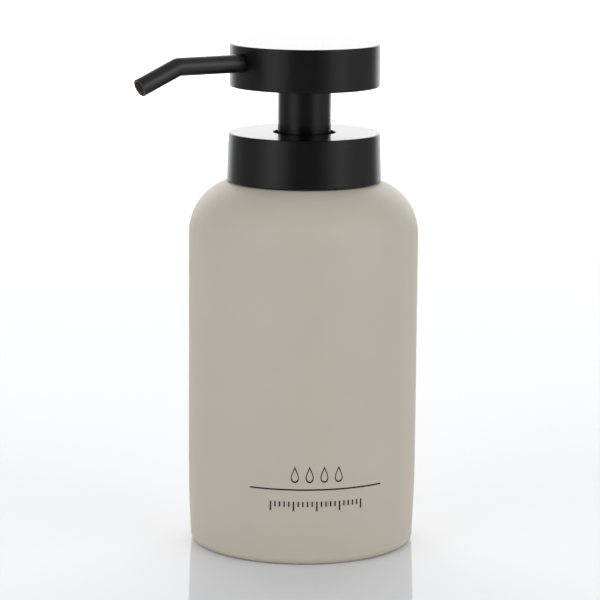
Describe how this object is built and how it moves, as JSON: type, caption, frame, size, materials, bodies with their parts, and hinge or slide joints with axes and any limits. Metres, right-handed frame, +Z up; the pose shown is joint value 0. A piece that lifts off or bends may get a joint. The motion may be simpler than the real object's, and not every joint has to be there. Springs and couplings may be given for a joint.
{
  "type": "soap pump dispenser",
  "caption": "Round-shouldered ceramic bottle with a black screw collar, drum-shaped pump head and bent nozzle; the head presses and turns, and the pump unscrews and lifts out.",
  "frame": {"origin": "centre of the bottle's base, on the plane it stands on", "axes": "+Z up along the bottle and pump axis, nozzle along -X, XZ is the plane of symmetry"},
  "size_m": [0.1, 0.075, 0.1646],
  "materials": {
    "bottle_ceramic": "matte, very fine grain",
    "black_coat": "satin black coat",
    "black_plastic": "moulded, fine texture",
    "white_plastic": "moulded polypropylene",
    "clear_plastic": "natural translucent polyethylene",
    "seal_rubber": "soft sealing plastic",
    "spring_steel": "drawn stainless wire",
    "ball_steel": "polished stainless"
  },
  "bodies": {
    "bottle": {"bottle_body": "bottle_ceramic", "neck_ring": "white_plastic"},
    "gasket": {"neck_gasket": "seal_rubber"},
    "pump_body": {"pump_housing": "clear_plastic", "retaining_cap": "white_plastic", "stem_wiper": "seal_rubber", "ball_cage": "white_plastic", "dip_tube": "clear_plastic", "return_spring": "spring_steel"},
    "closure": {"collar_cover": "black_coat", "collar_thread_insert": "black_plastic"},
    "plunger": {"stem_tube": "white_plastic", "plunger_tip": "white_plastic"},
    "piston": {"piston_seal": "seal_rubber"},
    "ball": {"inlet_ball": "ball_steel"},
    "head": {"head_cover": "black_coat", "head_core": "black_plastic", "nozzle_tube": "black_coat", "stem_sleeve": "black_coat", "socket_o_ring": "seal_rubber", "nozzle_o_ring": "seal_rubber"}
  },
  "joints": [
    {"name": "pump_lift", "type": "slide", "parent": "bottle", "child": "gasket", "axis": [0, 0, 1], "range_m": [0, 0.13]},
    {"name": "thread_rise", "type": "slide", "parent": "gasket", "child": "pump_body", "axis": [0, 0, 1], "range_m": [0, 0.0045]},
    {"name": "collar_turn", "type": "hinge", "parent": "pump_body", "child": "closure", "pos_m": [0, 0, 0.1357], "axis": [0, 0, 1], "range_deg": [0, 540]},
    {"name": "head_press", "type": "slide", "parent": "pump_body", "child": "plunger", "axis": [0, 0, -1], "range_m": [0, 0.0125], "stiffness_N_per_m": 900, "springref_m": -0.008, "deforming": ["return_spring"]},
    {"name": "head_turn", "type": "hinge", "parent": "plunger", "child": "head", "pos_m": [0, 0, 0.1646], "axis": [0, 0, 1], "continuous": true},
    {"name": "piston_slip", "type": "slide", "parent": "plunger", "child": "piston", "axis": [0, 0, 1], "range_m": [0, 0.00148]},
    {"name": "ball_lift", "type": "slide", "parent": "pump_body", "child": "ball", "axis": [0, 0, 1], "range_m": [0, 0.0015]}
  ],
  "couplings": [
    {"joint": "thread_rise", "follows": "collar_turn", "m_per_rad": 0.00047746}
  ]
}
